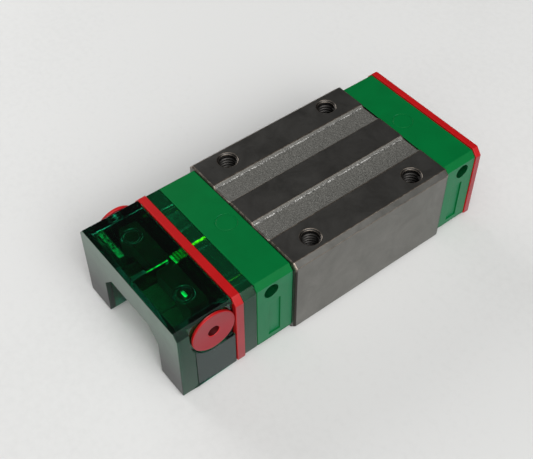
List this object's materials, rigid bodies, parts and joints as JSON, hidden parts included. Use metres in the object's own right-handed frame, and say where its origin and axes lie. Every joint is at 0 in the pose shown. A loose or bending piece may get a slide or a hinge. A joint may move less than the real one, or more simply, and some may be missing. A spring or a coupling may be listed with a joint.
{
  "type": "linear guide carriage",
  "caption": "Linear guide carriage: a tapped steel block on recirculating ball rows, with plastic end caps, wiping seals and a clip-on oil cartridge at one end.",
  "frame": {"origin": "centre of the steel block's ground mounting face", "axes": "+Z out of the mounting face, +Y along the rail towards the plain end, +X across the carriage"},
  "size_m": [0.034, 0.0765, 0.0197],
  "materials": {
    "ground_steel": "dark ground lands, rough grooves between them, rubbed bright edges",
    "ball_steel": "polished bearing steel",
    "dark_screw": "blackened steel",
    "green_plastic": "opaque moulded plastic with a soft sheen",
    "dark_green_plastic": "dark translucent glossy plastic",
    "clear_green_plastic": "clearer translucent plastic that catches the light",
    "red_plastic": "opaque satin plastic",
    "red_rubber": "satin moulded rubber",
    "seal_rubber": "matt rubber",
    "black_plastic": "moulded plastic",
    "oiled_felt": "oil-soaked felt"
  },
  "bodies": {
    "carriage": {"steel_block": "ground_steel", "near_end_cap": "green_plastic", "far_end_cap": "green_plastic", "near_left_return_guide": "black_plastic", "near_right_return_guide": "black_plastic", "far_left_return_guide": "black_plastic", "far_right_return_guide": "black_plastic", "near_end_seal": "red_plastic", "far_end_seal": "red_plastic", "oil_connector_plate": "dark_green_plastic", "oil_conveyor_felt": "oiled_felt", "upper_ball_retainer": "black_plastic", "left_side_retainer": "black_plastic", "right_side_retainer": "black_plastic", "left_dust_seal": "seal_rubber", "right_dust_seal": "seal_rubber", "near_left_end_screw": "dark_screw", "near_right_end_screw": "dark_screw", "far_left_end_screw": "dark_screw", "far_right_end_screw": "dark_screw", "grease_plug_screw": "dark_screw"},
    "cartridge": {"oil_cartridge": "dark_green_plastic", "cartridge_lid": "dark_green_plastic", "feed_nozzle": "clear_green_plastic", "left_oil_wick": "oiled_felt", "right_oil_wick": "oiled_felt"},
    "left_fill_plug": {"left_fill_plug": "red_rubber"},
    "right_fill_plug": {"right_fill_plug": "red_rubber"},
    "upper_left_load_row": {"upper_left_load_balls": "ball_steel"},
    "upper_left_return_row": {"upper_left_return_balls": "ball_steel"},
    "upper_right_load_row": {"upper_right_load_balls": "ball_steel"},
    "upper_right_return_row": {"upper_right_return_balls": "ball_steel"},
    "lower_left_load_row": {"lower_left_load_balls": "ball_steel"},
    "lower_left_return_row": {"lower_left_return_balls": "ball_steel"},
    "lower_right_load_row": {"lower_right_load_balls": "ball_steel"},
    "lower_right_return_row": {"lower_right_return_balls": "ball_steel"}
  },
  "joints": [
    {"name": "cartridge_slide", "type": "slide", "parent": "carriage", "child": "cartridge", "axis": [0, -1, 0], "range_m": [0, 0.02]},
    {"name": "left_plug_pull", "type": "slide", "parent": "cartridge", "child": "left_fill_plug", "axis": [-1, 0, 0], "range_m": [0, 0.01]},
    {"name": "right_plug_pull", "type": "slide", "parent": "cartridge", "child": "right_fill_plug", "axis": [1, 0, 0], "range_m": [0, 0.01]},
    {"name": "upper_left_load_travel", "type": "slide", "parent": "carriage", "child": "upper_left_load_row", "axis": [0, 1, 0], "range_m": [-0.00159, 0.00159]},
    {"name": "upper_left_return_travel", "type": "slide", "parent": "carriage", "child": "upper_left_return_row", "axis": [0, 1, 0], "range_m": [-0.00159, 0.00159]},
    {"name": "upper_right_load_travel", "type": "slide", "parent": "carriage", "child": "upper_right_load_row", "axis": [0, 1, 0], "range_m": [-0.00159, 0.00159]},
    {"name": "upper_right_return_travel", "type": "slide", "parent": "carriage", "child": "upper_right_return_row", "axis": [0, 1, 0], "range_m": [-0.00159, 0.00159]},
    {"name": "lower_left_load_travel", "type": "slide", "parent": "carriage", "child": "lower_left_load_row", "axis": [0, 1, 0], "range_m": [-0.00159, 0.00159]},
    {"name": "lower_left_return_travel", "type": "slide", "parent": "carriage", "child": "lower_left_return_row", "axis": [0, 1, 0], "range_m": [-0.00159, 0.00159]},
    {"name": "lower_right_load_travel", "type": "slide", "parent": "carriage", "child": "lower_right_load_row", "axis": [0, 1, 0], "range_m": [-0.00159, 0.00159]},
    {"name": "lower_right_return_travel", "type": "slide", "parent": "carriage", "child": "lower_right_return_row", "axis": [0, 1, 0], "range_m": [-0.00159, 0.00159]}
  ],
  "couplings": [
    {"joint": "upper_left_return_travel", "follows": "upper_left_load_travel", "ratio": -1},
    {"joint": "upper_right_return_travel", "follows": "upper_right_load_travel", "ratio": -1},
    {"joint": "lower_left_return_travel", "follows": "lower_left_load_travel", "ratio": -1},
    {"joint": "lower_right_return_travel", "follows": "lower_right_load_travel", "ratio": -1}
  ]
}
